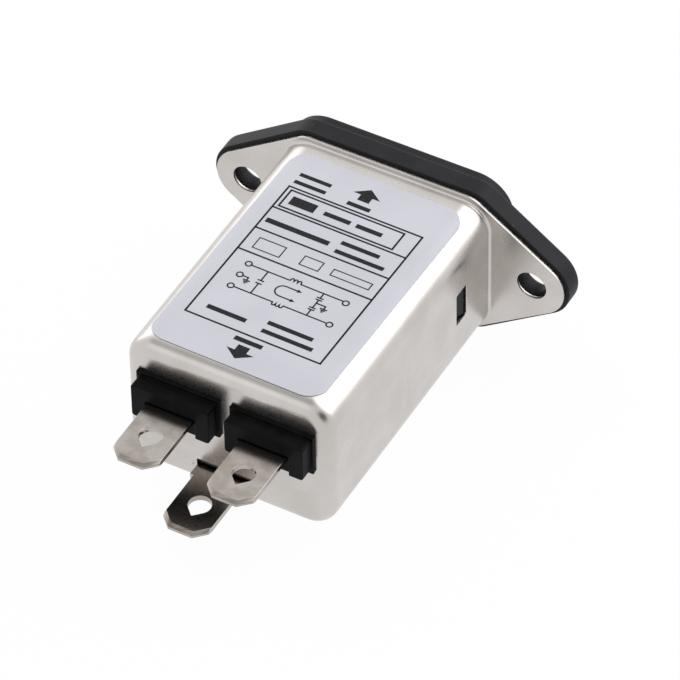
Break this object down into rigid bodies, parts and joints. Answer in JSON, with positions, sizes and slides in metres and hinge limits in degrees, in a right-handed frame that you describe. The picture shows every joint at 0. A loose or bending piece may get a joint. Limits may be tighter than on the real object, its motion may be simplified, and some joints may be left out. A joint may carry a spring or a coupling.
{
  "type": "emi line filter",
  "caption": "Appliance inlet with a built-in EMI line filter: drawn metal can with a flanged ear on each side, black socket moulding in front and flat push-on tabs behind.",
  "frame": {"origin": "midway between the two mounting holes, on the rear face of the metal flange that meets the panel", "axes": "+Y along the can towards the terminals, -Y out of the inlet socket, +X to the line pin's side, +Z to the label's side"},
  "size_m": [0.0498, 0.0564, 0.0228],
  "materials": {
    "nickel_can": "bright nickel plating over drawn steel sheet",
    "label_film": "silver-grey coated film with dark print",
    "black_moulding": "fine spark-eroded texture",
    "black_insulator": "smooth satin",
    "tinned_tab": "dull nickel plating on brass strip",
    "inlet_pin": "nickel-plated brass",
    "ferrite": "epoxy-coated ferrite",
    "divider_card": "moulded card",
    "enamelled_copper": "enamelled copper wire",
    "x_capacitor_case": "moulded case",
    "tinned_wire": "tinned wire",
    "y_capacitor_coat": "dipped coating",
    "earth_insulation": "insulated wire",
    "liner_film": "polyester film"
  },
  "bodies": {
    "root": {"shield_can": "nickel_can", "rating_label": "label_film", "inlet_housing": "black_moulding", "line_insulator": "black_insulator", "neutral_insulator": "black_insulator", "line_terminal": "tinned_tab", "neutral_terminal": "tinned_tab", "earth_terminal": "tinned_tab", "line_pin": "inlet_pin", "neutral_pin": "inlet_pin", "earth_pin": "inlet_pin", "choke_core": "ferrite", "choke_divider": "divider_card", "line_winding": "enamelled_copper", "neutral_winding": "enamelled_copper", "x_capacitor": "x_capacitor_case", "x_capacitor_leads": "tinned_wire", "line_y_capacitor": "y_capacitor_coat", "neutral_y_capacitor": "y_capacitor_coat", "line_y_capacitor_leads": "tinned_wire", "neutral_y_capacitor_leads": "tinned_wire", "earth_wire": "earth_insulation", "insulating_liner": "liner_film"}
  },
  "joints": []
}
